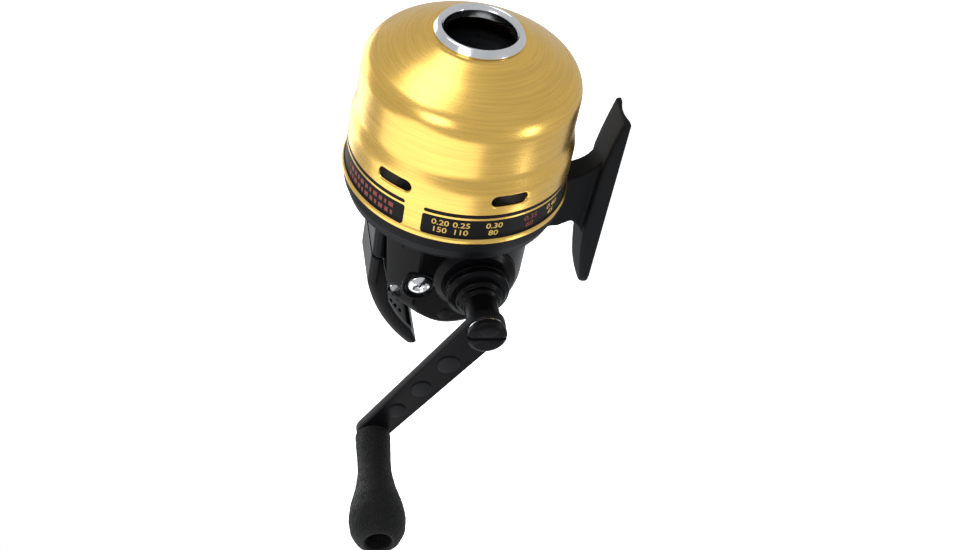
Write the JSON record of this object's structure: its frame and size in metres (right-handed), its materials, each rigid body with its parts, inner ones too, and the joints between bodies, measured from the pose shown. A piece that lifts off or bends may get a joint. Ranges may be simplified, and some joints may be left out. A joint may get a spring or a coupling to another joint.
{
  "type": "spincast fishing reel",
  "caption": "Closed-face spincast reel with a gold brushed nose cover, chrome line guide, black gear body, thumb button, side crank with grip, and a slim rod foot.",
  "frame": {"origin": "the foot's underside, where it rests on the rod seat, 29 mm behind its front tip", "axes": "+X forward along the spool axis to the line exit, +Y to the angler's left, +Z away from the rod; the crank is on the -Y side"},
  "size_m": [0.1148, 0.1103, 0.075],
  "materials": {
    "gold_cover": "gold anodised, brushed round the axis",
    "polished_steel": "polished",
    "black_body": "gloss black",
    "black_satin": "satin black paint",
    "charcoal_foot": "satin charcoal paint",
    "black_arm": "semi-gloss black paint",
    "grip_rubber": "grained black",
    "seal_rubber": "matte",
    "steel": "turned steel",
    "brass": "machined brass",
    "spool_aluminium": "turned aluminium",
    "nylon_line": "clear nylon line",
    "fibre": "friction fibre",
    "acetal": "white acetal"
  },
  "bodies": {
    "frame": {"front_cover": "gold_cover", "line_guide_ring": "polished_steel", "cover_seal": "seal_rubber", "body_ring": "black_satin", "deck_plate": "spool_aluminium", "gear_housing": "black_body", "crank_bearing_plate": "black_body", "crank_bearing": "brass", "left_bearing": "brass", "reel_foot": "charcoal_foot", "foot_screws": "steel", "side_screws": "polished_steel", "deck_screws": "steel", "shaft_guide": "brass", "shaft_spring": "steel", "pinion_bearing": "steel", "pawl_post": "steel", "cam_wheel_axle": "steel", "top_cover": "black_body", "thumb_pivot_pin": "steel"},
    "crank": {"crankshaft": "steel", "drive_gear": "brass", "drag_friction_washers": "fibre", "drag_steel_washers": "steel", "drag_spring_washer": "steel", "oscillation_pinion": "brass", "anti_reverse_ratchet": "steel", "crank_collar": "black_arm", "handle_arm": "black_arm", "handle_washer": "polished_steel", "handle_screw": "black_arm", "grip_spindle": "steel"},
    "dial": {"drag_sleeve": "steel", "drag_dial": "black_arm"},
    "knob": {"grip": "grip_rubber", "grip_washer": "steel"},
    "pinion": {"pinion": "brass"},
    "rotor": {"centre_shaft": "steel", "shaft_clip": "steel", "spinner_head": "black_satin", "line_brake_ring": "seal_rubber", "spinner_nut": "polished_steel"},
    "pickup": {"pickup_pin": "polished_steel"},
    "spool": {"spool": "spool_aluminium", "wound_line": "nylon_line", "oscillation_yoke": "steel"},
    "cam_wheel": {"oscillation_cam_wheel": "acetal"},
    "thumb": {"thumb_button": "black_body"},
    "pawl": {"anti_reverse_pawl": "steel"}
  },
  "joints": [
    {"name": "crank_spin", "type": "hinge", "parent": "frame", "child": "crank", "pos_m": [-0.0128, 0, 0.0388], "axis": [0, 1, 0], "continuous": true},
    {"name": "drag_dial_turn", "type": "hinge", "parent": "crank", "child": "dial", "pos_m": [-0.0128, 0, 0.0388], "axis": [0, 1, 0], "range_deg": [-150, 150]},
    {"name": "grip_spin", "type": "hinge", "parent": "crank", "child": "knob", "pos_m": [-0.05337, -0.0423, 0.06464], "axis": [0, -0.9984, 0.0558], "continuous": true},
    {"name": "pinion_spin", "type": "hinge", "parent": "frame", "child": "pinion", "pos_m": [0, 0, 0.044], "axis": [1, 0, 0], "continuous": true},
    {"name": "shaft_slide", "type": "slide", "parent": "pinion", "child": "rotor", "axis": [1, 0, 0], "range_m": [0, 0.0046], "stiffness_N_per_m": 500, "springref_m": -0.006, "deforming": ["shaft_spring"]},
    {"name": "pickup_retract", "type": "slide", "parent": "rotor", "child": "pickup", "axis": [0, 0, 1], "range_m": [-0.0021, 0]},
    {"name": "cam_wheel_spin", "type": "hinge", "parent": "frame", "child": "cam_wheel", "pos_m": [-0.00597, 0, 0.03122], "axis": [0, 1, 0], "continuous": true},
    {"name": "spool_oscillation", "type": "slide", "parent": "frame", "child": "spool", "axis": [1, 0, 0], "range_m": [-0.0015, 0.0015]},
    {"name": "thumb_press", "type": "hinge", "parent": "frame", "child": "thumb", "pos_m": [-0.0214, 0, 0.059], "axis": [0, -1, 0], "range_deg": [0, 16.3]},
    {"name": "pawl_swing", "type": "hinge", "parent": "frame", "child": "pawl", "pos_m": [-0.0234, 0, 0.0477], "axis": [0, -1, 0], "range_deg": [0, 12], "stiffness_Nm_per_rad": 0.004, "springref_deg": -5.73}
  ],
  "couplings": [
    {"joint": "pinion_spin", "follows": "crank_spin", "ratio": 4.1},
    {"joint": "cam_wheel_spin", "follows": "crank_spin", "ratio": -0.7},
    {"joint": "thumb_press", "follows": "shaft_slide", "rad_per_m": 60.707},
    {"joint": "pickup_retract", "follows": "shaft_slide", "ratio": -0.43478}
  ]
}
